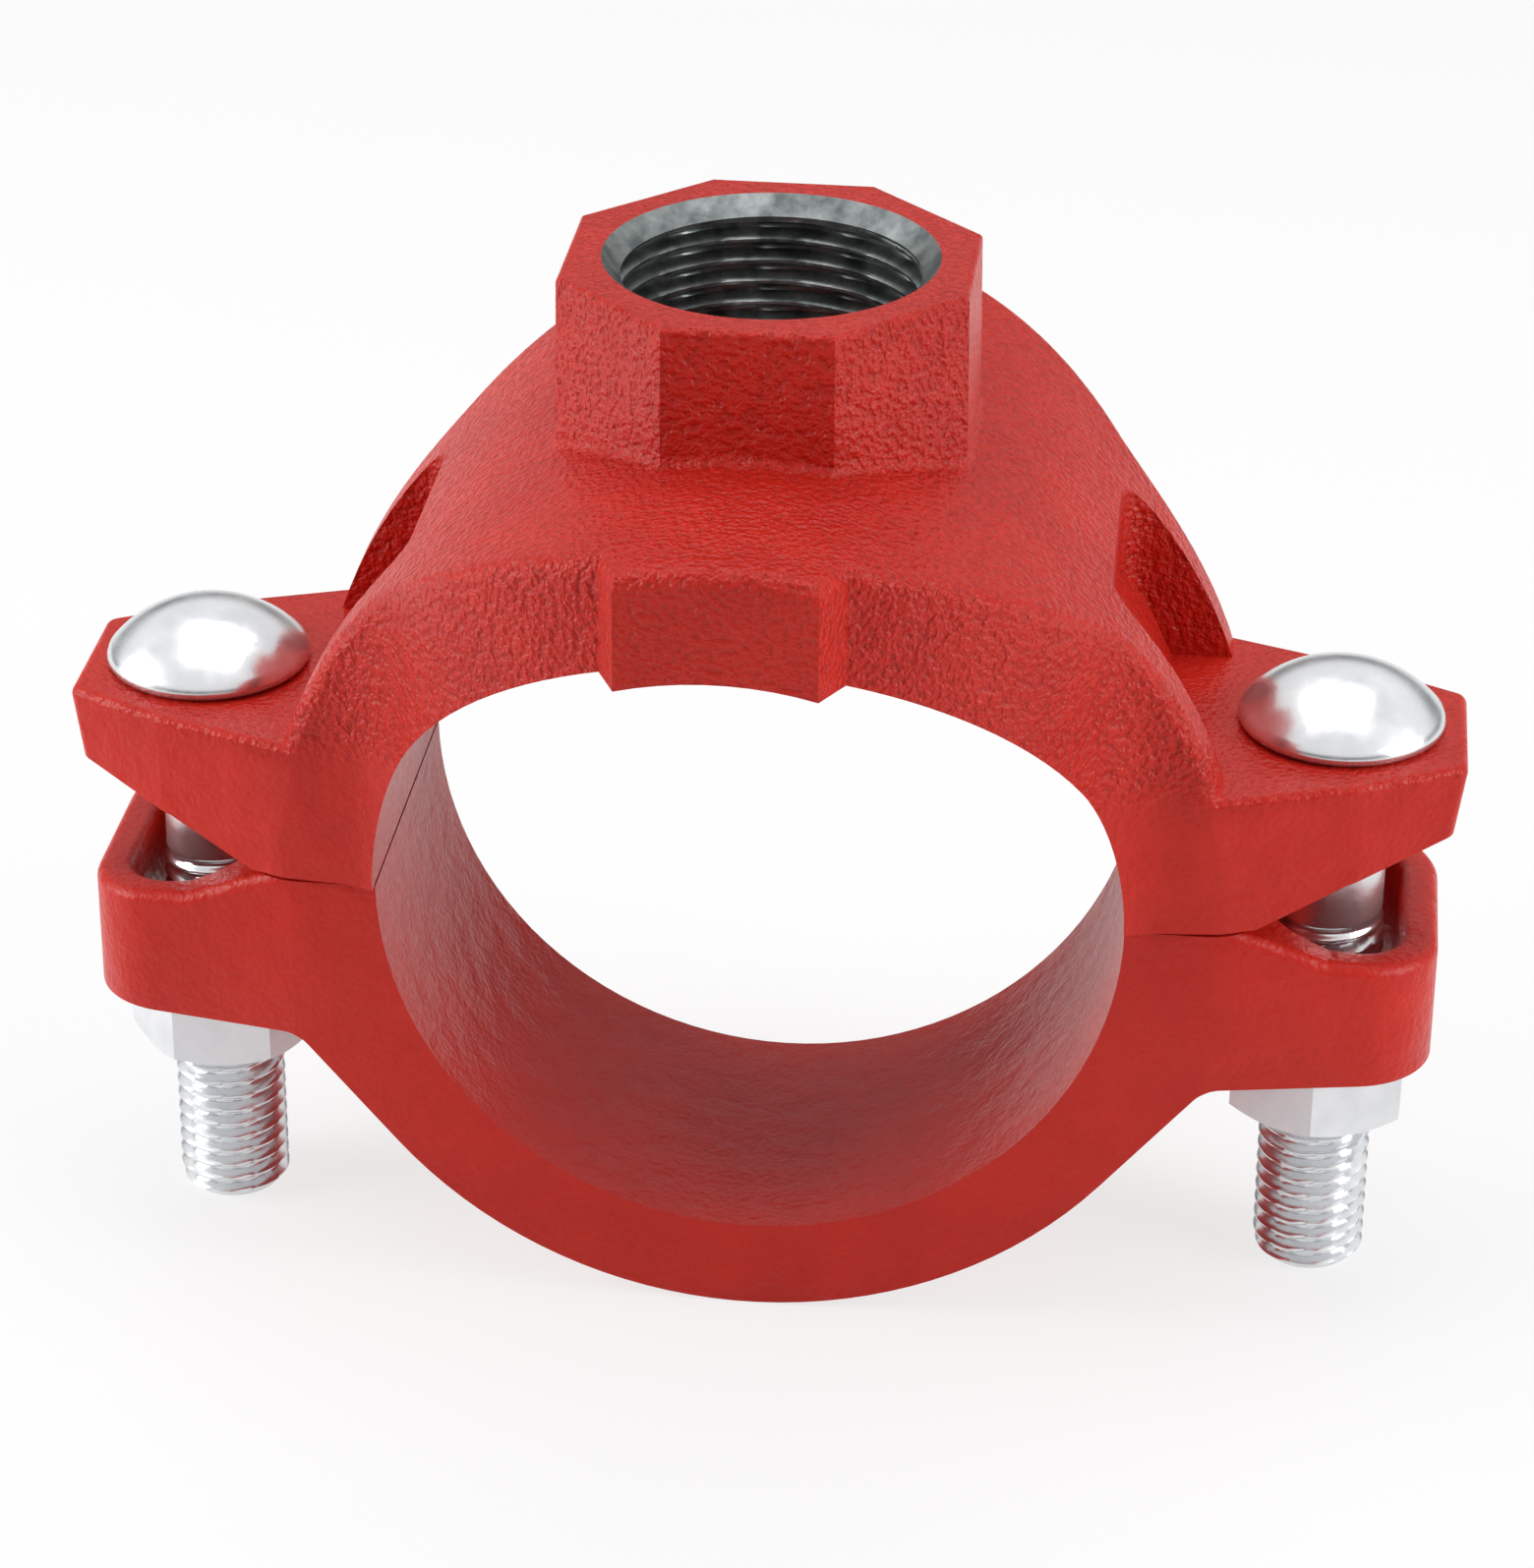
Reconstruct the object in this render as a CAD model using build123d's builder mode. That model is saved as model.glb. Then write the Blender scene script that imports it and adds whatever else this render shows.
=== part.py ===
"""Mechanical tee, DN65 run pipe (76.1 mm outside) by 1 inch female thread outlet.

Two iron castings clamp round the run pipe with two track bolts. The upper one carries the
outlet boss, and a rubber gasket in its pocket seals round the hole cut in the pipe.
Millimetres. Origin where the pipe axis crosses the outlet axis, +Z up the outlet,
+Y along the pipe, +X across to the right-hand bolt.
"""
import os
from math import acos, atan2, cos, hypot, radians, sin, sqrt, tan

from build123d import *

# run pipe and the bore that clamps it
pipe_od = 76.1
pipe_clearance = 0.65
parting_gap = 0.4  # daylight between the clamping faces of the two castings

# upper housing: saddle over the pipe
saddle_wall = 11.6
saddle_plan_radius = 42.0  # round the outlet axis, seen from above
strap_width = 39.0  # along the pipe, where the saddle runs down to the lugs
strap_blend_radius = 12.0
pad_half_width = 9.8
pad_step = 3.5  # how far the pad stands proud of the saddle's round
pad_flare = 2.6  # how much wider the pad is where it leaves the saddle
saddle_edge_radius = 1.9

# outlet boss
boss_across_flats = 41.0
boss_top = 64.2
boss_draft = 0.8  # degrees
boss_root_radius = 2.6
boss_edge_radius = 0.7
thread_minor_diameter = 30.3  # 1 inch pipe thread, 11 threads to the inch
thread_major_diameter = 33.25
thread_length = 19.0
mouth_land = 0.4  # how far the mouth's chamfer reaches past the major diameter
waterway_diameter = 27.0

# gasket pocket, and the collar that locates in the hole in the pipe
collar_diameter = 35.4
collar_depth = 4.4  # below the crown of the pipe
pocket_diameter = 56.0
pocket_depth = 5.0
gasket_side_clearance = 0.3
gasket_crush = 0.5  # how far the free gasket stands into the pipe's place
gasket_lip_radius = 0.8

# bolts and nuts
bolt_spacing = 119.0
bolt_diameter = 12.0
bolt_length = 64.0  # under the head
bolt_tip_chamfer = 1.0
head_diameter = 21.4
head_rim = 1.4
head_dome = 5.1
neck_length = 17.0  # the oval neck that stops the bolt turning
neck_depth = 7.0
neck_clearance = 0.4
nut_across_flats = 18.0
nut_height = 10.8
nut_running_clearance = 0.08
nut_chamfer_angle = 30
left_nut_turn = 8
right_nut_turn = 27

# upper lugs, seen from above
lug_top = 15.5
lug_end = 13.0  # iron past the bolt's axis
lug_end_width = 17.0
lug_shoulder_width = 28.0
lug_shoulder_past_bolt = 2.5
lug_root_before_bolt = 12.5
lug_foot_before_bolt = 7.5  # where the clamping face ends and the underside starts to rise
lug_rise = 4.2
lug_rise_run = 9.0
lug_corner_radius = 1.6
lug_edge_radius = 1.0

# shoulder pockets between the ribs
rib_thickness = 5.8
shoulder_pocket_x = 35.5
shoulder_pocket_skin = 5.4  # iron left over the bore
shoulder_pocket_radius = 3.5

# lower housing
lower_width = 38.0
lower_wall = 9.7
lower_heel_before_bolt = 11.9  # where the strap's tangent meets the underside of the lug
lower_heel_radius = 3.5
lower_lug_end_width = 29.6  # before its corners are rounded
lower_lug_bottom = -18.5
lower_lug_corner_radius = 9.0
lower_hole_width = 14.8  # across the pipe; the bolt can lean in it
lower_hole_length = 25.2
lower_hole_corner_radius = 5.5
lower_rim = 4.0  # iron beyond the bolt hole
lower_lip_before_bolt = 8.5  # where the clamping face ends
lower_knee_drop = 3.8  # below the clamping face, level with the bolt
lower_end_drop = 5.0
lower_edge_radius = 1.4
lower_hole_edge_radius = 1.0

# values that follow from the ones above
pipe_radius = pipe_od / 2
bore_radius = pipe_radius + pipe_clearance
saddle_radius = bore_radius + saddle_wall
lower_radius = bore_radius + lower_wall
parting_z = parting_gap / 2
bolt_x = bolt_spacing / 2
pocket_roof_radius = bore_radius + pocket_depth
collar_bottom = pipe_radius - collar_depth
strap_half = strap_width / 2
pad_reach = saddle_plan_radius + pad_step
lug_reach = bolt_x + lug_end
lower_heel_x = bolt_x - lower_heel_before_bolt
lower_lug_reach = bolt_x + lower_hole_width / 2 + lower_rim
overrun = 5.0  # how far a cutting tool runs past what it cuts

os.makedirs("parts", exist_ok=True)


# the space the pipe takes up, left open round the locating collar
with BuildPart() as pipe_space:
    with BuildSketch(Plane.XZ):
        Circle(bore_radius)
    extrude(amount=pad_reach + overrun, both=True)
    with BuildSketch(Plane.XY.offset(collar_bottom)):
        Circle(collar_diameter / 2)
    extrude(amount=bore_radius, mode=Mode.SUBTRACT)

# the gasket's pocket: a ring round the collar, as deep all round as the saddle curves
with BuildPart() as pocket_space:
    with BuildSketch(Plane.XZ):
        Circle(pocket_roof_radius)
    extrude(amount=pad_reach, both=True)
    with BuildSketch(Plane.XY):
        Circle(pocket_diameter / 2)
        Circle(collar_diameter / 2, mode=Mode.SUBTRACT)
    extrude(amount=saddle_radius, mode=Mode.INTERSECT)

# the hollow behind the front rib and before the back rib, over the right-hand lug
with BuildPart() as shoulder_space:
    with BuildSketch(Plane.XY.offset(lug_top)):
        with Locations((shoulder_pocket_x, 0)):
            Rectangle(lug_reach, strap_width - 2 * rib_thickness, align=(Align.MIN, Align.CENTER))
    extrude(amount=saddle_radius)
    fillet(shoulder_space.edges().filter_by(Axis.Z).group_by(Axis.X)[0], shoulder_pocket_radius)
    with BuildSketch(Plane.XZ):
        Circle(bore_radius + shoulder_pocket_skin)
    extrude(amount=strap_width, both=True, mode=Mode.SUBTRACT)

# the right-hand lug, with an underside that rises outward from the clamping face
with BuildPart() as upper_lug:
    with BuildSketch(Plane.XY.offset(parting_z)):
        with BuildLine():
            Polyline(
                (bore_radius, strap_half),
                (bolt_x - lug_root_before_bolt, strap_half),
                (bolt_x + lug_shoulder_past_bolt, lug_shoulder_width / 2),
                (lug_reach, lug_end_width / 2),
                (lug_reach, 0),
                (bore_radius, 0),
                close=True,
            )
        make_face()
        mirror(about=Plane.XZ)
    extrude(amount=lug_top - parting_z)
    with BuildSketch(Plane.XZ):
        with BuildLine():
            rise_x = bolt_x - lug_foot_before_bolt
            Polyline(
                (rise_x, parting_z),
                (rise_x + lug_rise_run, lug_rise),
                (lug_reach + overrun, lug_rise),
                (lug_reach + overrun, parting_z - overrun),
                (rise_x, parting_z - overrun),
                close=True,
            )
        make_face()
    extrude(amount=strap_width, both=True, mode=Mode.SUBTRACT)
    fillet(upper_lug.edges().filter_by(Axis.Z).group_by(Axis.X)[-2:], lug_corner_radius)
    outside = upper_lug.edges().filter_by(lambda e: e.center().X > bolt_x - lug_root_before_bolt)
    fillet(outside.group_by(Axis.Z)[-1], lug_edge_radius)

with BuildPart() as upper_housing:
    # saddle: its outline from above pulled up, then cut to the round of the pipe
    with BuildSketch(Plane.XY.offset(parting_z)) as saddle_plan:
        Circle(saddle_plan_radius)
        Rectangle(2 * saddle_radius, strap_width)
        waist = saddle_plan.vertices().filter_by(lambda v: abs(v.X) < saddle_radius - 1)
        fillet(waist, strap_blend_radius)
        for side in (-1, 1):
            with BuildLine():
                Polyline(
                    (-pad_half_width, side * pad_reach),
                    (pad_half_width, side * pad_reach),
                    (pad_half_width + pad_flare, side * strap_width),
                    (pad_half_width, 0),
                    (-pad_half_width, 0),
                    (-pad_half_width - pad_flare, side * strap_width),
                    close=True,
                )
            make_face()
    extrude(amount=saddle_radius)
    with BuildSketch(Plane.XZ):
        Circle(saddle_radius)
    extrude(amount=pad_reach, both=True, mode=Mode.INTERSECT)
    crown = upper_housing.faces().filter_by(lambda f: f.geom_type == GeomType.CYLINDER)
    crown = crown.filter_by(lambda f: abs(f.radius - saddle_radius) < 0.01)
    rims = crown.edges().filter_by(lambda e: e.center().Z > parting_z + 0.5)
    fillet(rims, saddle_edge_radius)

    # lugs
    add(upper_lug.part)
    add(mirror(upper_lug.part, Plane.YZ, mode=Mode.PRIVATE))

    # outlet boss
    with BuildSketch(Plane.XY.offset(boss_top)):
        RegularPolygon(boss_across_flats / 2, 8, major_radius=False, rotation=22.5)
    extrude(amount=bore_radius - boss_top, taper=-boss_draft)
    boss_edges = upper_housing.edges().filter_by(lambda e: e.center().Z > saddle_radius - 8)
    root = boss_edges.filter_by(
        lambda e: e.center().Z < saddle_radius + 1
        and abs(hypot(e.center().X, e.center().Y) - boss_across_flats / 2) < 1.6
    )
    fillet(root, boss_root_radius)

    fillet(upper_housing.edges().group_by(Axis.Z)[-1], boss_edge_radius)

    # shoulder pockets, pipe bore, gasket pocket
    add(shoulder_space.part, mode=Mode.SUBTRACT)
    add(mirror(shoulder_space.part, Plane.YZ, mode=Mode.PRIVATE), mode=Mode.SUBTRACT)
    add(pipe_space.part, mode=Mode.SUBTRACT)
    add(pocket_space.part, mode=Mode.SUBTRACT)

    # outlet: waterway, thread at its minor diameter, chamfered mouth
    with Locations((0, 0, boss_top)):
        CounterBoreHole(waterway_diameter / 2, thread_minor_diameter / 2, thread_length)
    mouth = upper_housing.edges().filter_by(GeomType.CIRCLE).group_by(Axis.Z)[-1]
    chamfer(mouth, thread_major_diameter / 2 + mouth_land - thread_minor_diameter / 2)

    # oval bolt holes
    with BuildSketch(Plane.XY.offset(lug_top)):
        with Locations((-bolt_x, 0), (bolt_x, 0)):
            SlotOverall(neck_length + 2 * neck_clearance, bolt_diameter + 2 * neck_clearance)
    extrude(amount=-2 * lug_top, mode=Mode.SUBTRACT)

with BuildPart() as gasket:
    with BuildSketch(Plane.XZ):
        Circle(pocket_roof_radius - gasket_side_clearance)
        Circle(pipe_radius - gasket_crush, mode=Mode.SUBTRACT)
    extrude(amount=pad_reach, both=True)
    with BuildSketch(Plane.XY):
        Circle(pocket_diameter / 2 - gasket_side_clearance)
        Circle(collar_diameter / 2 + gasket_side_clearance, mode=Mode.SUBTRACT)
    extrude(amount=saddle_radius, mode=Mode.INTERSECT)
    fillet(gasket.edges(), gasket_lip_radius)

with BuildPart() as lower_housing:
    # side outline: round under the pipe, then straight at a tangent up to the lugs
    heel = (lower_heel_x, lower_lug_bottom)
    tangent_angle = atan2(heel[1], heel[0]) - acos(lower_radius / hypot(*heel))
    tangent = (lower_radius * cos(tangent_angle), lower_radius * sin(tangent_angle))
    with BuildSketch(Plane.XZ) as outline:
        with BuildLine():
            RadiusArc((0, -lower_radius), tangent, -lower_radius)
            Polyline(
                tangent,
                heel,
                (lower_lug_reach, lower_lug_bottom),
                (lower_lug_reach, -parting_z - lower_end_drop),
                (bolt_x, -parting_z - lower_knee_drop),
                (bolt_x - lower_lip_before_bolt, -parting_z),
                (0, -parting_z),
                (0, -lower_radius),
            )
        make_face()
        mirror(about=Plane.YZ)
        heels = outline.vertices().filter_by(
            lambda v: abs(abs(v.X) - lower_heel_x) < 0.01 and abs(v.Y - lower_lug_bottom) < 0.01
        )
        fillet(heels, lower_heel_radius)
    extrude(amount=lower_width / 2, both=True)
    # seen from above the lugs narrow a little and end in round corners
    with BuildSketch(Plane.XY) as lower_plan:
        with BuildLine():
            Polyline(
                (0, lower_width / 2),
                (lower_heel_x, lower_width / 2),
                (lower_lug_reach, lower_lug_end_width / 2),
                (lower_lug_reach, 0),
                (0, 0),
                close=True,
            )
        make_face()
        mirror(about=Plane.XZ)
        mirror(about=Plane.YZ)
        lug_corners = lower_plan.vertices().filter_by(
            lambda v: abs(v.X) > lower_heel_x + 1 and abs(v.Y) > 1
        )
        fillet(lug_corners, lower_lug_corner_radius)
    extrude(amount=-lower_radius, mode=Mode.INTERSECT)
    # round edges outside the lugs; the line across each knee stays as it is
    rims = lower_housing.edges().filter_by(Axis.Z, reverse=True).filter_by(
        lambda e: abs(e.center().X) > bolt_x - lower_lip_before_bolt + 0.1
        and (abs(e.center().Y) > 1 or abs(e.center().X) > lower_lug_reach - 0.1)
    )
    fillet(rims.filter_by(lambda e: e.center().Z > lower_lug_bottom + 1), lower_edge_radius)
    with BuildSketch(Plane.XZ):
        Circle(bore_radius)
    extrude(amount=lower_width, both=True, mode=Mode.SUBTRACT)
    # long bolt holes, which let the bolt swing when the tee is fitted
    with BuildSketch(Plane.XY):
        with Locations((-bolt_x, 0), (bolt_x, 0)):
            RectangleRounded(lower_hole_width, lower_hole_length, lower_hole_corner_radius)
    extrude(amount=-lower_radius, mode=Mode.SUBTRACT)
    hole_rims = lower_housing.edges(Select.LAST).filter_by(Axis.Z, reverse=True)
    fillet(
        hole_rims.filter_by(lambda e: e.center().Z > lower_lug_bottom + 1), lower_hole_edge_radius
    )


def track_bolt(x):
    """Round-headed bolt with an oval neck; its thread is modelled at the crest diameter."""
    dome_radius = ((head_diameter / 2) ** 2 + head_dome**2) / (2 * head_dome)
    rim_top = lug_top + head_rim
    tip = lug_top - bolt_length
    with BuildPart() as bolt:
        with BuildSketch(Plane.XZ):
            with BuildLine():
                Polyline(
                    (0, rim_top + head_dome),
                    (0, tip),
                    (bolt_diameter / 2 - bolt_tip_chamfer, tip),
                    (bolt_diameter / 2, tip + bolt_tip_chamfer),
                    (bolt_diameter / 2, lug_top),
                    (head_diameter / 2, lug_top),
                    (head_diameter / 2, rim_top),
                )
                RadiusArc((head_diameter / 2, rim_top), (0, rim_top + head_dome), -dome_radius)
            make_face()
        revolve(axis=Axis.Z)
        with BuildSketch(Plane.XY.offset(lug_top)):
            SlotOverall(neck_length, bolt_diameter)
        extrude(amount=-neck_depth)
    return bolt.part.moved(Location((x, 0, 0)))


def hex_nut(x, turn):
    """Hexagon nut against the underside of a lower lug, corners chamfered at both ends."""
    corner_radius = nut_across_flats / sqrt(3)
    chamfer_height = (corner_radius - nut_across_flats / 2) * tan(radians(nut_chamfer_angle))
    bottom = lower_lug_bottom - nut_height
    with BuildPart() as nut:
        with BuildSketch(Plane.XY.offset(lower_lug_bottom)):
            RegularPolygon(nut_across_flats / 2, 6, major_radius=False, rotation=turn)
            Circle(bolt_diameter / 2 + nut_running_clearance, mode=Mode.SUBTRACT)
        extrude(amount=-nut_height)
        with BuildSketch(Plane.XZ):
            with BuildLine():
                Polyline(
                    (0, lower_lug_bottom),
                    (nut_across_flats / 2, lower_lug_bottom),
                    (corner_radius, lower_lug_bottom - chamfer_height),
                    (corner_radius, bottom + chamfer_height),
                    (nut_across_flats / 2, bottom),
                    (0, bottom),
                    close=True,
                )
            make_face()
        revolve(axis=Axis.Z, mode=Mode.INTERSECT)
    return nut.part.moved(Location((x, 0, 0)))


upper_housing.part.label = "upper_housing"
export_step(upper_housing.part, "parts/upper_housing.step")
gasket.part.label = "gasket"
export_step(gasket.part, "parts/gasket.step")
lower_housing.part.label = "lower_housing"
export_step(lower_housing.part, "parts/lower_housing.step")
for name, x in (("bolt_left", -bolt_x), ("bolt_right", bolt_x)):
    bolt = track_bolt(x)
    bolt.label = name
    export_step(bolt, f"parts/{name}.step")
for name, x, turn in (("nut_left", -bolt_x, left_nut_turn), ("nut_right", bolt_x, right_nut_turn)):
    nut = hex_nut(x, turn)
    nut.label = name
    export_step(nut, f"parts/{name}.step")
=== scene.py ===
from math import atan2, copysign, cos, hypot, pi, radians, sin, sqrt

import bmesh
import bpy
from mathutils import Matrix, Vector


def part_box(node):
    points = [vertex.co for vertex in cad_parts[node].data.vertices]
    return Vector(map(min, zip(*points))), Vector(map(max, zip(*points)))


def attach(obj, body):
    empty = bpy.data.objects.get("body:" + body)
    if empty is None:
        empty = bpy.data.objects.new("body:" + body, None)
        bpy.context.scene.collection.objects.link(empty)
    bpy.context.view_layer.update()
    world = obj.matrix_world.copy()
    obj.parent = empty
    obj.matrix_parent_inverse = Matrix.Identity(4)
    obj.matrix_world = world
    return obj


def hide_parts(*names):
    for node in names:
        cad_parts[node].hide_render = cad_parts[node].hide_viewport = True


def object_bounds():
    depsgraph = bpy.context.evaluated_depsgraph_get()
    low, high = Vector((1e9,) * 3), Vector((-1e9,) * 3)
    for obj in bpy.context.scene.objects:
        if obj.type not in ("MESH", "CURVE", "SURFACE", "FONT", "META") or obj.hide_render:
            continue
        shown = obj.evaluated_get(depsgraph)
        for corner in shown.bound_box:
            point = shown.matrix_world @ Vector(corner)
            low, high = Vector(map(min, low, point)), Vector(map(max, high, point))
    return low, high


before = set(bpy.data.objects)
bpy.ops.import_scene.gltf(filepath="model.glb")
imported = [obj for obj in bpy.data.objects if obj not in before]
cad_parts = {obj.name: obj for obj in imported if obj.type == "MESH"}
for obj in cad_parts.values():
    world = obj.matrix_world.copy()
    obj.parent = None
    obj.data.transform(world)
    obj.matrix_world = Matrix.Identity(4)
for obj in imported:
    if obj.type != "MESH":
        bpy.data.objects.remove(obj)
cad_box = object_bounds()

MM = 0.001  # every size below is written in millimetres

TIP, TOP = cad_box[0].z / MM, cad_box[1].z / MM  # the bolts' tips and the boss's face

# where the camera stands
CAMERA_TARGET = Vector((-0.14, 0, 4.34)) * MM
CAMERA_DISTANCE = 520 * MM
CAMERA_ABOVE = radians(27.87)
CAMERA_TO_THE_RIGHT = radians(6.41)
CAMERA_ROLL = radians(0.34)
CAMERA_LENS = 115.64
CAMERA_SENSOR = 36

# outlet thread: one-inch parallel pipe thread, eleven turns to the inch
OUTLET_PITCH = 2.309
OUTLET_MINOR_RADIUS = 15.15
OUTLET_MAJOR_RADIUS = 16.63
OUTLET_MOUTH_RADIUS = 17.05
OUTLET_THREAD_BOTTOM = 45.4
OUTLET_RUNOUT = 2.0
OUTLET_LEAD_IN = 1.0
OUTLET_WALL_CLEARANCE = 0.06  # keeps the tap off the wall between its turns
OUTLET_GROOVE_FLOOR = 0.2  # shares of a turn
OUTLET_CREST_FLAT = 0.12
OUTLET_BARE_FROM = 44.0  # the iron is uncoated above here

# track bolts, M12 coarse
BOLT_PITCH = 1.75
BOLT_CREST_RADIUS = 5.96
BOLT_ROOT_RADIUS = 4.95
BOLT_SHANK_RADIUS = 5.6
BOLT_THREAD_TOP = -5.5
BOLT_THREAD_RUNOUT = 1.5  # turns
BOLT_CREST_FLAT = 0.14  # shares of a turn
BOLT_ROOT_FLAT = 0.2
BOLT_TIP_CHAMFER = 1.0
BOLT_TIP_FLAT = 2.5
CENTRE_RADIUS = 0.02  # stands in for a point, so that each ring keeps its vertices
NECK_HALF_LENGTH = 8.5
NECK_HALF_WIDTH = 6.0
NECK_DEPTH = 7.0
NECK_EASE = 0.35
SHANK_FLARE = 0.2  # the shank widens a little into the neck
SHANK_FLARE_HEIGHT = 0.3
HEAD_RADIUS = 10.7
HEAD_RIM = 1.4
HEAD_DOME = 5.1
HEAD_EDGE_RADIUS = 0.9
HEAD_RIM_ROUND = 0.1
HEAD_RIM_ROUND_HEIGHT = 0.35
HEAD_DOME_SHARE = 0.975  # the dome starts this far out, inside the rim's round

# the castings' outside edges
CAST_EDGE_RADIUS = 0.8
CAST_EDGE_ANGLE = radians(30)  # sharper edges than this are eased
BORE_EDGE = 40.0  # edges nearer the pipe's axis than this stay crisp,
OUTLET_EDGE = 18.0  # and so do edges nearer the outlet's axis than this
FLAT_ANGLE = radians(0.2)  # facets that differ by less are one face
CAST_SHARP_ANGLE = radians(28)  # where the shading breaks
BOLT_SHARP_ANGLE = radians(40)

# where the boss stands on the saddle
BOSS_HALF_WIDTH = 20.5
BOSS_DRAFT = 0.014
BOSS_FOOT_FROM = 30.0
SADDLE_RADIUS = 50.3
ROOT_AS_DRAWN = 2.6
ROOT_AS_CAST = 1.2
ROOT_SLACK = 0.2

# upper lugs: front face, seen from above, and underside
LUG_TOP = 15.5
LUG_ROOT_X = 47.0
LUG_ROOT_Y = 19.5
LUG_TAPER = 5.5 / 15
LUG_KNEE_X = 61.0
LUG_KNEE_Z = 4.25
LUG_END_RISE = 0.29
LUG_END_X = cad_box[1].x / MM
LUG_END_LENGTH = 3.0
LUG_END_LEAN = 0.12
LUG_TOP_EDGE = 1.5  # the end face leans only below this
LUG_RIDGE_SHARE = 0.12  # what stays of the saddle's rim where it stood proud of the lug


# ---- small helpers ----------------------------------------------------------


def srgb(hex_colour):
    """Linear colour, with alpha, from an sRGB hex value."""

    def linear(channel):
        return channel / 12.92 if channel <= 0.04045 else ((channel + 0.055) / 1.055) ** 2.4

    parts = [int(hex_colour[i : i + 2], 16) / 255 for i in (1, 3, 5)]
    return (*map(linear, parts), 1)


def node(tree, kind, settings=None, **inputs):
    """Adds a node. A setting is an attribute; an input takes a value or another node's socket."""
    made = tree.nodes.new(kind)
    for name, value in (settings or {}).items():
        setattr(made, name, value)
    for name, value in inputs.items():
        key = int(name[1:]) if name[0] == "i" and name[1:].isdigit() else name.replace("_", " ")
        socket = made.inputs[key]
        if isinstance(value, bpy.types.NodeSocket):
            tree.links.new(value, socket)
        else:
            socket.default_value = value
    return made


def new_material(name):
    """An empty node material, with its tree and its output."""
    material = bpy.data.materials.new(name)
    material.use_nodes = True
    tree = material.node_tree
    tree.nodes.clear()
    return material, tree, tree.nodes.new("ShaderNodeOutputMaterial")


def add_piece(name, mesh, body, replaced):
    """A mesh object that rides on a body and stands for a CAD node."""
    piece = bpy.data.objects.new(name, mesh)
    bpy.context.scene.collection.objects.link(piece)
    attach(piece, body)
    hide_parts(replaced)
    return piece


def ring_grid(bm, rings):
    """Joins rings of points, all of one length, by quads. Returns the rings' vertices."""
    made = [[bm.verts.new(Vector(p) * MM) for p in ring] for ring in rings]
    for low, high in zip(made, made[1:]):
        for i in range(len(low)):
            j = (i + 1) % len(low)
            bm.faces.new((low[i], low[j], high[j], high[i]))
    return made


def thread_depth(turn, crest, root):
    """Share of the full depth, 1 at the crest, for a place within one turn of a thread."""
    turn = turn % 1.0
    flank = (1 - crest - root) / 2
    if turn < crest:
        return 1.0
    if turn < crest + flank:
        return 1 - (turn - crest) / flank
    if turn < crest + flank + root:
        return 0.0
    return (turn - crest - flank - root) / flank


# ---- finishes ---------------------------------------------------------------


def red_enamel_on_cast_iron():
    """Red coating over a sand casting: saturated, half gloss, with the sand's grain showing
    through as orange peel, and painted shade that darkens the colour in its pits. The arch and
    the boss, cast against the upper mould, are the coarsest and carry the most painted shade. The
    grain is drawn at 0.7 mm, coarser than the sand's."""
    material, tree, output = new_material("red enamel on sand-cast iron")
    place = node(tree, "ShaderNodeTexCoord").outputs["Object"]
    height = node(tree, "ShaderNodeSeparateXYZ", Vector=place).outputs["Z"]
    coarse = node(
        tree,
        "ShaderNodeMapRange",
        {"interpolation_type": "SMOOTHSTEP"},
        Value=height,
        From_Min=13 * MM,
        From_Max=19 * MM,
        To_Min=0.25,
        To_Max=1.0,
    )
    grain = node(
        tree, "ShaderNodeTexNoise", Vector=place, Scale=1 / (0.7 * MM), Detail=1.5, Roughness=0.5
    )
    swell = node(
        tree, "ShaderNodeTexNoise", Vector=place, Scale=1 / (3.5 * MM), Detail=1.0, Roughness=0.4
    )
    shade = node(
        tree, "ShaderNodeTexNoise", Vector=place, Scale=1 / (14.0 * MM), Detail=3.0, Roughness=0.6
    )
    colour = node(tree, "ShaderNodeValToRGB", Fac=shade.outputs["Fac"])
    colour.color_ramp.elements[0].position = 0.35
    colour.color_ramp.elements[0].color = srgb("#b61f14")
    colour.color_ramp.elements[1].position = 0.68
    colour.color_ramp.elements[1].color = srgb("#c22518")
    # painted shade: where the grain is low, in the orange peel's pits, the red is darkened to as
    # little as 0.8
    pits = node(
        tree,
        "ShaderNodeMapRange",
        Value=grain.outputs["Fac"],
        From_Min=0.34,
        From_Max=0.52,
        To_Min=0.8,
        To_Max=1.0,
    )
    # the painted pit shade is multiplied in, full on the arch and boss and a quarter as strong
    # lower down
    painted_shade_in_pits = node(
        tree,
        "ShaderNodeMix",
        {"data_type": "RGBA", "blend_type": "MULTIPLY"},
        i0=coarse.outputs["Result"],
        i6=colour.outputs["Color"],
        i7=pits.outputs["Result"],
    )
    wave = node(
        tree, "ShaderNodeBump", Strength=0.6, Distance=0.5 * MM, Height=swell.outputs["Fac"]
    )
    peel = node(
        tree,
        "ShaderNodeBump",
        Strength=coarse.outputs["Result"],
        Distance=0.6 * MM,
        Height=grain.outputs["Fac"],
        Normal=wave.outputs["Normal"],
    )
    gloss = node(
        tree,
        "ShaderNodeMapRange",
        Value=grain.outputs["Fac"],
        From_Min=0.3,
        From_Max=0.7,
        To_Min=0.4,
        To_Max=0.3,
    )
    shader = node(
        tree,
        "ShaderNodeBsdfPrincipled",
        Base_Color=painted_shade_in_pits.outputs[2],
        Roughness=gloss.outputs["Result"],
        IOR=1.5,
        Specular_IOR_Level=0.24,
        Normal=peel.outputs["Normal"],
    )
    tree.links.new(shader.outputs["BSDF"], output.inputs["Surface"])
    return material


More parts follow.
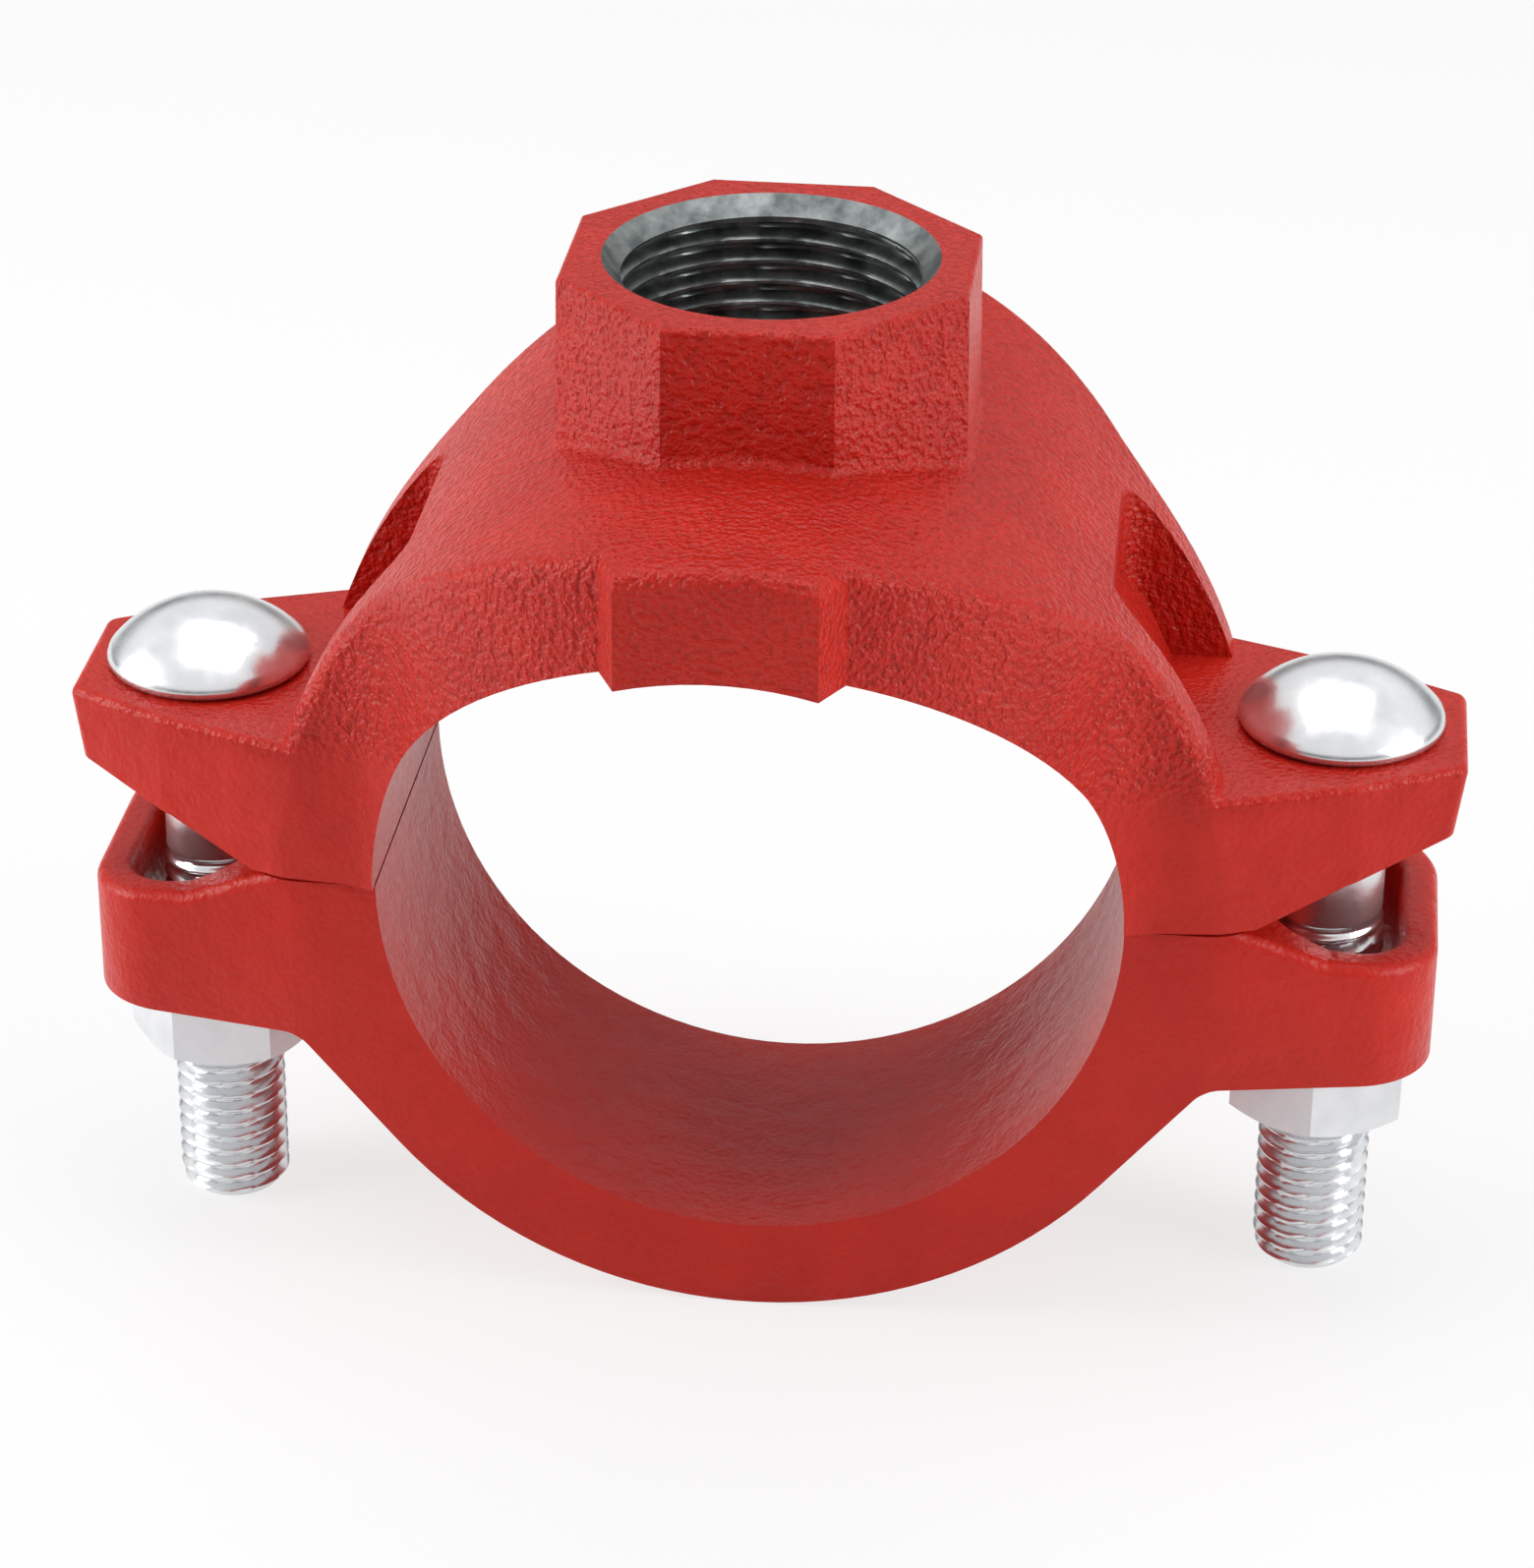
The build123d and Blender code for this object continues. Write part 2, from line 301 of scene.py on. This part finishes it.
def machined_iron():
    """Cast iron as the tap left it: grey, with fine rings from the cut and a film of oil."""
    material, tree, output = new_material("machined cast iron")
    place = node(tree, "ShaderNodeTexCoord").outputs["Object"]
    rings = node(
        tree,
        "ShaderNodeTexWave",
        {"wave_type": "BANDS", "bands_direction": "Z"},
        Vector=place,
        Scale=1 / (0.6 * MM) / 20,
        Distortion=0.6,
        Detail=2.0,
    )
    stain = node(
        tree, "ShaderNodeTexNoise", Vector=place, Scale=1 / (3.0 * MM), Detail=4.0, Roughness=0.6
    )
    colour = node(tree, "ShaderNodeValToRGB", Fac=stain.outputs["Fac"])
    colour.color_ramp.elements[0].position = 0.35
    colour.color_ramp.elements[0].color = srgb("#5b6161")
    colour.color_ramp.elements[1].position = 0.7
    colour.color_ramp.elements[1].color = srgb("#989d9c")
    cut = node(
        tree, "ShaderNodeBump", Strength=0.3, Distance=0.05 * MM, Height=rings.outputs["Fac"]
    )
    shader = node(
        tree,
        "ShaderNodeBsdfPrincipled",
        Base_Color=colour.outputs["Color"],
        Metallic=1.0,
        Roughness=0.38,
        Normal=cut.outputs["Normal"],
    )
    tree.links.new(shader.outputs["BSDF"], output.inputs["Surface"])
    return material


def bright_zinc_plate(name, roughness, metal_share):
    """Zinc electroplate, clear passivated: silvery, faintly blue, with soft cloudy patches.
    Its fine crystals scatter part of the light, which keeps it pale beside the red."""
    material, tree, output = new_material(name)
    place = node(tree, "ShaderNodeTexCoord").outputs["Object"]
    cloud = node(
        tree, "ShaderNodeTexNoise", Vector=place, Scale=1 / (4.0 * MM), Detail=3.0, Roughness=0.55
    )
    pits = node(
        tree, "ShaderNodeTexNoise", Vector=place, Scale=1 / (0.5 * MM), Detail=2.0, Roughness=0.5
    )
    colour = node(tree, "ShaderNodeValToRGB", Fac=cloud.outputs["Fac"])
    colour.color_ramp.elements[0].position = 0.3
    colour.color_ramp.elements[0].color = srgb("#d8dbde")
    colour.color_ramp.elements[1].position = 0.7
    colour.color_ramp.elements[1].color = srgb("#e6e8ea")
    dull = node(
        tree,
        "ShaderNodeMapRange",
        Value=cloud.outputs["Fac"],
        From_Min=0.3,
        From_Max=0.7,
        To_Min=roughness - 0.05,
        To_Max=roughness + 0.07,
    )
    skin = node(
        tree, "ShaderNodeBump", Strength=0.25, Distance=0.04 * MM, Height=pits.outputs["Fac"]
    )
    shader = node(
        tree,
        "ShaderNodeBsdfPrincipled",
        Base_Color=colour.outputs["Color"],
        Metallic=metal_share,
        Roughness=dull.outputs["Result"],
        Normal=skin.outputs["Normal"],
    )
    tree.links.new(shader.outputs["BSDF"], output.inputs["Surface"])
    return material


def moulded_rubber():
    """Black EPDM as it leaves the mould: matt, with a trace of bloom."""
    material, tree, output = new_material("moulded EPDM rubber")
    place = node(tree, "ShaderNodeTexCoord").outputs["Object"]
    bloom = node(
        tree, "ShaderNodeTexNoise", Vector=place, Scale=1 / (3.0 * MM), Detail=4.0, Roughness=0.6
    )
    colour = node(tree, "ShaderNodeValToRGB", Fac=bloom.outputs["Fac"])
    colour.color_ramp.elements[0].color = srgb("#1a1a1b")
    colour.color_ramp.elements[1].color = srgb("#2b2b2d")
    skin = node(
        tree, "ShaderNodeBump", Strength=0.2, Distance=0.05 * MM, Height=bloom.outputs["Fac"]
    )
    shader = node(
        tree,
        "ShaderNodeBsdfPrincipled",
        Base_Color=colour.outputs["Color"],
        Roughness=0.6,
        IOR=1.52,
        Normal=skin.outputs["Normal"],
    )
    tree.links.new(shader.outputs["BSDF"], output.inputs["Surface"])
    return material


red_enamel = red_enamel_on_cast_iron()
cut_iron = machined_iron()
zinc_on_bolts = bright_zinc_plate("bright zinc plate on forged bolts", 0.22, 0.85)
zinc_on_nuts = bright_zinc_plate("bright zinc plate on cold-formed nuts", 0.4, 0.6)
rubber = moulded_rubber()


# ---- upper housing: the casting with its outlet tapped ----------------------


def outlet_tap():
    """The space the thread takes out of the boss, closed at both ends."""
    segments = 96
    rows_per_turn = 12
    past_the_face = 2
    bottom = OUTLET_THREAD_BOTTOM
    top = TOP + past_the_face
    rows = int((top - bottom) / OUTLET_PITCH * rows_per_turn)
    inside = OUTLET_MINOR_RADIUS - OUTLET_WALL_CLEARANCE
    chamfer_foot = TOP - (OUTLET_MOUTH_RADIUS - OUTLET_MINOR_RADIUS)
    rings = []
    for row in range(rows + 1):
        z = bottom + (top - bottom) * row / rows
        runout = (z - bottom) / OUTLET_RUNOUT
        lead_in = max(0.0, (chamfer_foot - z) / OUTLET_LEAD_IN)
        fade = min(1.0, runout, lead_in)
        ring = []
        for i in range(segments):
            angle = 2 * pi * i / segments
            turn = z / OUTLET_PITCH - angle / (2 * pi)
            depth = thread_depth(turn, OUTLET_GROOVE_FLOOR, OUTLET_CREST_FLAT) * fade
            radius = inside + (OUTLET_MAJOR_RADIUS - inside) * depth
            ring.append((radius * cos(angle), radius * sin(angle), z))
        rings.append(ring)
    bm = bmesh.new()
    made = ring_grid(bm, rings)
    bm.faces.new(list(reversed(made[0])))
    bm.faces.new(made[-1])
    bmesh.ops.triangulate(bm, faces=[f for f in bm.faces if len(f.verts) > 4])
    mesh = bpy.data.meshes.new("outlet_tap")
    bm.to_mesh(mesh)
    bm.free()
    tap = bpy.data.objects.new("outlet_tap", mesh)
    bpy.context.scene.collection.objects.link(tap)
    return tap


def tighten_boss_root(bm):
    """Draws the round at the foot of the boss in to the radius it is cast with."""
    share = ROOT_AS_CAST / ROOT_AS_DRAWN
    near, far = -ROOT_SLACK / 4, ROOT_AS_DRAWN + ROOT_SLACK
    for vert in bm.verts:
        x, y, z = vert.co / MM
        half_width = BOSS_HALF_WIDTH + (TOP - z) * BOSS_DRAFT
        slanted = (abs(x) + abs(y)) * sqrt(0.5)
        out = max(abs(x), abs(y), slanted) - half_width
        up = hypot(x, z) - SADDLE_RADIUS
        if z > BOSS_FOOT_FROM and near < out < far and near < up < far:
            narrower = (half_width + out * share) / (half_width + out)
            x, y = x * narrower, y * narrower
            z = sqrt((SADDLE_RADIUS + up * share) ** 2 - x**2)
            vert.co = Vector((x, y, z)) * MM


def shape_upper_lugs(bm):
    """Runs the lugs' front faces flush into the saddle, and slopes their ends and undersides."""
    rim_x = SADDLE_RADIUS + 0.1
    for vert in bm.verts:
        x, y, z = vert.co / MM
        out = abs(x)
        front = LUG_ROOT_Y - (out - LUG_ROOT_X) * LUG_TAPER
        if LUG_ROOT_X < out < rim_x and z < LUG_TOP and abs(y) > front:
            y = copysign(front + (abs(y) - front) * LUG_RIDGE_SHARE, y)
        if out > LUG_KNEE_X and 0 < z < LUG_KNEE_Z:
            z += (out - LUG_KNEE_X) * LUG_END_RISE
        if out > LUG_END_X - LUG_END_LENGTH and z < LUG_TOP - LUG_TOP_EDGE:
            x *= 1 - LUG_END_LEAN * (LUG_TOP - z) / LUG_END_X
        vert.co = Vector((x, y, z)) * MM


def eased_casting(node_name, *reshape):
    """A copy of a casting's solid with its sharp outside edges eased, as cast and coated."""
    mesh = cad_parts[node_name].data.copy()
    if "custom_normal" in mesh.attributes:
        mesh.attributes.remove(mesh.attributes["custom_normal"])
    bm = bmesh.new()
    bm.from_mesh(mesh)
    bmesh.ops.remove_doubles(bm, verts=bm.verts, dist=0.001 * MM)
    bmesh.ops.dissolve_limit(
        bm,
        angle_limit=FLAT_ANGLE,
        verts=bm.verts,
        edges=bm.edges,
        use_dissolve_boundaries=False,
    )
    for change in reshape:
        change(bm)
    bmesh.ops.bevel(
        bm,
        geom=[e for e in bm.edges if eased(e)],
        offset=CAST_EDGE_RADIUS * MM,
        offset_type="OFFSET",
        segments=3,
        profile=0.5,
        affect="EDGES",
        clamp_overlap=True,
        miter_outer="ARC",
    )
    bmesh.ops.triangulate(bm, faces=bm.faces)
    bm.to_mesh(mesh)
    bm.free()
    return mesh


def eased(edge):
    """Whether an edge is sharp and shows from outside: the bore and the outlet stay crisp."""
    if not edge.is_convex or edge.calc_face_angle(0) <= CAST_EDGE_ANGLE:
        return False
    middle = (edge.verts[0].co + edge.verts[1].co) / 2
    from_pipe = hypot(middle.x, middle.z)
    from_outlet = hypot(middle.x, middle.y)
    return from_pipe > BORE_EDGE * MM and (from_outlet > OUTLET_EDGE * MM or middle.z < 0)


def tapped_housing():
    """The cast upper housing, with the pipe thread cut into its outlet."""
    mesh = eased_casting("upper_housing", tighten_boss_root, shape_upper_lugs)
    blank = bpy.data.objects.new("housing_blank", mesh)
    bpy.context.scene.collection.objects.link(blank)
    tap = outlet_tap()
    cut = blank.modifiers.new("tap", "BOOLEAN")
    cut.operation = "DIFFERENCE"
    cut.solver = "EXACT"
    cut.object = tap
    bpy.context.view_layer.update()
    evaluated = blank.evaluated_get(bpy.context.evaluated_depsgraph_get())
    tapped = bpy.data.meshes.new_from_object(evaluated)
    bpy.data.objects.remove(blank)
    bpy.data.objects.remove(tap)
    tapped.materials.clear()
    tapped.materials.append(red_enamel)
    tapped.materials.append(cut_iron)
    for face in tapped.polygons:
        in_outlet = hypot(face.center.x, face.center.y) < OUTLET_MOUTH_RADIUS * MM
        bare = in_outlet and face.center.z > OUTLET_BARE_FROM * MM
        face.material_index = 1 if bare else 0
    tapped.shade_smooth()
    tapped.set_sharp_from_angle(angle=CAST_SHARP_ANGLE)
    return tapped


add_piece("tapped_upper_housing", tapped_housing(), "upper", "upper_housing")


def lower_casting():
    """The cast lower housing."""
    mesh = eased_casting("lower_housing")
    mesh.materials.clear()
    mesh.materials.append(red_enamel)
    mesh.shade_smooth()
    mesh.set_sharp_from_angle(angle=CAST_SHARP_ANGLE)
    return mesh


add_piece("cast_lower_housing", lower_casting(), "lower", "lower_housing")


# ---- gasket and nuts keep their own shapes ----------------------------------

for name, material in (
    ("gasket", rubber),
    ("nut_left", zinc_on_nuts),
    ("nut_right", zinc_on_nuts),
):
    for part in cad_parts[name].material_slots:
        part.material = material


# ---- track bolts ------------------------------------------------------------


def neck_radius(angle):
    """Distance from the bolt's middle to the edge of its oval neck."""
    straight = NECK_HALF_LENGTH - NECK_HALF_WIDTH
    across, along = abs(sin(angle)), abs(cos(angle))
    if along * NECK_HALF_WIDTH <= straight * across:
        return NECK_HALF_WIDTH / across
    reach = straight * along
    return reach + sqrt(NECK_HALF_WIDTH**2 - (straight * across) ** 2)


def track_bolt(node_name):
    """Domed head, oval neck, plain shank and rolled thread, as one closed skin."""
    low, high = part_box(node_name)
    x = (low.x + high.x) / 2 / MM
    tip = low.z / MM
    crown = high.z / MM
    seat = crown - HEAD_DOME - HEAD_RIM
    segments = 64
    angles = [2 * pi * i / segments for i in range(segments)]

    def circle(radius, z):
        return [(x + radius * cos(a), radius * sin(a), z) for a in angles]

    def neck(grow, z):
        reach = [(a, neck_radius(a) + grow) for a in angles]
        return [(x + radius * cos(a), radius * sin(a), z) for a, radius in reach]

    rings = [circle(CENTRE_RADIUS, tip), circle(BOLT_TIP_FLAT, tip)]
    rows_per_turn = 10
    rows = int((BOLT_THREAD_TOP - tip) / BOLT_PITCH * rows_per_turn)
    for row in range(rows + 1):
        z = tip + (BOLT_THREAD_TOP - tip) * row / rows
        chamfer = BOLT_CREST_RADIUS - BOLT_TIP_CHAMFER + (z - tip)
        runout = min(1.0, max(0.0, (BOLT_THREAD_TOP - z) / (BOLT_THREAD_RUNOUT * BOLT_PITCH)))
        ring = []
        for a in angles:
            depth = thread_depth(z / BOLT_PITCH - a / (2 * pi), BOLT_CREST_FLAT, BOLT_ROOT_FLAT)
            radius = BOLT_ROOT_RADIUS + (BOLT_CREST_RADIUS - BOLT_ROOT_RADIUS) * depth
            radius = BOLT_SHANK_RADIUS + (radius - BOLT_SHANK_RADIUS) * runout
            radius = min(radius, chamfer)
            ring.append((x + radius * cos(a), radius * sin(a), z))
        rings.append(ring)
    neck_bottom = seat - NECK_DEPTH
    rings.append(circle(BOLT_SHANK_RADIUS, (BOLT_THREAD_TOP + neck_bottom) / 2))
    rings.append(circle(BOLT_SHANK_RADIUS, neck_bottom - SHANK_FLARE_HEIGHT))
    rings.append(circle(BOLT_SHANK_RADIUS + SHANK_FLARE, neck_bottom))
    rings.append(neck(-NECK_EASE, neck_bottom))
    rings.append(neck(0, neck_bottom + NECK_EASE))
    rings.append(neck(0, seat))
    edge = HEAD_EDGE_RADIUS
    rings.append(circle(HEAD_RADIUS - edge, seat))
    edge_rings = 4
    for k in range(1, edge_rings + 1):
        turn = pi / 2 * k / edge_rings
        rings.append(
            circle(HEAD_RADIUS - edge + edge * sin(turn), seat + edge - edge * cos(turn))
        )
    rim_top = seat + HEAD_RIM
    dome_radius = (HEAD_RADIUS**2 + HEAD_DOME**2) / (2 * HEAD_DOME)
    steep = atan2(HEAD_RADIUS, dome_radius - HEAD_DOME)
    rings.append(circle(HEAD_RADIUS, rim_top - HEAD_RIM_ROUND_HEIGHT))
    rings.append(circle(HEAD_RADIUS - HEAD_RIM_ROUND, rim_top - HEAD_RIM_ROUND))
    dome_rings = 20
    for k in range(dome_rings):
        turn = steep * HEAD_DOME_SHARE * (1 - k / dome_rings)
        radius = max(CENTRE_RADIUS, dome_radius * sin(turn))
        rings.append(circle(radius, crown - dome_radius * (1 - cos(turn))))
    bm = bmesh.new()
    made = ring_grid(bm, rings)
    bm.faces.new(list(reversed(made[0])))
    bm.faces.new(made[-1])
    mesh = bpy.data.meshes.new(node_name)
    bm.to_mesh(mesh)
    bm.free()
    mesh.materials.append(zinc_on_bolts)
    mesh.shade_smooth()
    mesh.set_sharp_from_angle(angle=BOLT_SHARP_ANGLE)
    return mesh


for side in ("left", "right"):
    add_piece(f"track_bolt_{side}", track_bolt(f"bolt_{side}"), "upper", f"bolt_{side}")


# ---- studio -----------------------------------------------------------------


def shown_background(tree):
    """1 for what the camera, a reflection or a refraction sees directly, else 0."""
    light_path = node(tree, "ShaderNodeLightPath")
    seen = node(
        tree,
        "ShaderNodeMath",
        {"operation": "MAXIMUM"},
        i0=light_path.outputs["Is Camera Ray"],
        i1=light_path.outputs["Is Glossy Ray"],
    )
    return node(
        tree,
        "ShaderNodeMath",
        {"operation": "MAXIMUM"},
        i0=seen.outputs[0],
        i1=light_path.outputs["Is Transmission Ray"],
    ).outputs[0]


def studio_floor():
    """White sweep that keeps a soft shadow under the tee."""
    reach = 3000 * MM
    below_the_tips = 0.02
    height = (TIP - below_the_tips) * MM
    bm = bmesh.new()
    corners = [(-reach, -reach), (reach, -reach), (reach, reach), (-reach, reach)]
    bm.faces.new([bm.verts.new((x, y, height)) for x, y in corners])
    mesh = bpy.data.meshes.new("studio_floor")
    bm.to_mesh(mesh)
    bm.free()
    floor = bpy.data.objects.new("studio_floor", mesh)
    bpy.context.scene.collection.objects.link(floor)
    material, tree, output = new_material("white paper sweep")
    paper = node(tree, "ShaderNodeBsdfDiffuse", Color=srgb("#f2f2f2"))
    white = node(tree, "ShaderNodeEmission", Strength=1.0)
    share = node(
        tree,
        "ShaderNodeMath",
        {"operation": "MULTIPLY"},
        i0=shown_background(tree),
        i1=0.75,
    )
    mixed = node(
        tree,
        "ShaderNodeMixShader",
        i0=share.outputs[0],
        i1=paper.outputs["BSDF"],
        i2=white.outputs["Emission"],
    )
    tree.links.new(mixed.outputs["Shader"], output.inputs["Surface"])
    mesh.materials.append(material)


def studio_world(strength):
    """Pale surroundings. Reflections see them white, but for darker walls round the horizon."""
    world = bpy.data.worlds.new("studio")
    bpy.context.scene.world = world
    world.use_nodes = True
    tree = world.node_tree
    tree.nodes.clear()
    output = tree.nodes.new("ShaderNodeOutputWorld")
    direction = node(tree, "ShaderNodeTexCoord").outputs["Generated"]
    height = node(tree, "ShaderNodeSeparateXYZ", Vector=direction).outputs["Z"]
    walls = node(
        tree,
        "ShaderNodeMapRange",
        {"interpolation_type": "SMOOTHSTEP"},
        Value=height,
        From_Min=0.12,
        From_Max=0.4,
        To_Min=0.2,
        To_Max=1.0,
    )
    light_path = node(tree, "ShaderNodeLightPath")
    shown = node(
        tree,
        "ShaderNodeMath",
        {"operation": "MAXIMUM"},
        i0=light_path.outputs["Is Camera Ray"],
        i1=walls.outputs["Result"],
    )
    dim = node(tree, "ShaderNodeBackground", Color=(1, 1, 1, 1), Strength=strength)
    white = node(tree, "ShaderNodeBackground", Color=(1, 1, 1, 1), Strength=shown.outputs[0])
    mixed = node(
        tree,
        "ShaderNodeMixShader",
        i0=shown_background(tree),
        i1=dim.outputs["Background"],
        i2=white.outputs["Background"],
    )
    tree.links.new(mixed.outputs["Shader"], output.inputs["Surface"])


def softbox(name, place, size, power):
    """Square softbox aimed at the tee."""
    light = bpy.data.lights.new(name, "AREA")
    light.shape = "SQUARE"
    light.size = size
    light.energy = power
    lamp = bpy.data.objects.new(name, light)
    bpy.context.scene.collection.objects.link(lamp)
    lamp.location = place
    lamp.rotation_euler = (-Vector(place)).to_track_quat("-Z", "Y").to_euler()


def camera():
    """Stands in front, a little to the right, looking down on the tee."""
    data = bpy.data.cameras.new("camera")
    data.sensor_fit = "HORIZONTAL"
    data.sensor_width = CAMERA_SENSOR
    data.lens = CAMERA_LENS
    data.clip_start = 0.01
    made = bpy.data.objects.new("camera", data)
    bpy.context.scene.collection.objects.link(made)
    side, above, roll = CAMERA_TO_THE_RIGHT, CAMERA_ABOVE, CAMERA_ROLL
    back = Vector((sin(side) * cos(above), -cos(side) * cos(above), sin(above)))
    right = Vector((cos(side), sin(side), 0))
    up = back.cross(right)
    turned_right = right * cos(roll) + up * sin(roll)
    turned_up = up * cos(roll) - right * sin(roll)
    axes = Matrix((turned_right, turned_up, back)).transposed()
    made.matrix_world = Matrix.LocRotScale(
        CAMERA_TARGET + back * CAMERA_DISTANCE, axes.to_quaternion(), None
    )
    bpy.context.scene.camera = made


studio_floor()
studio_world(0.26)
softbox("overhead_softbox", (0.0, 0.15, 0.9), 0.7, 4.5)
softbox("left_softbox", (-0.85, -0.15, 0.3), 0.6, 6.6)
softbox("right_softbox", (0.85, -0.2, 0.3), 0.6, 5.6)
camera()

bpy.context.scene.view_settings.view_transform = "Standard"
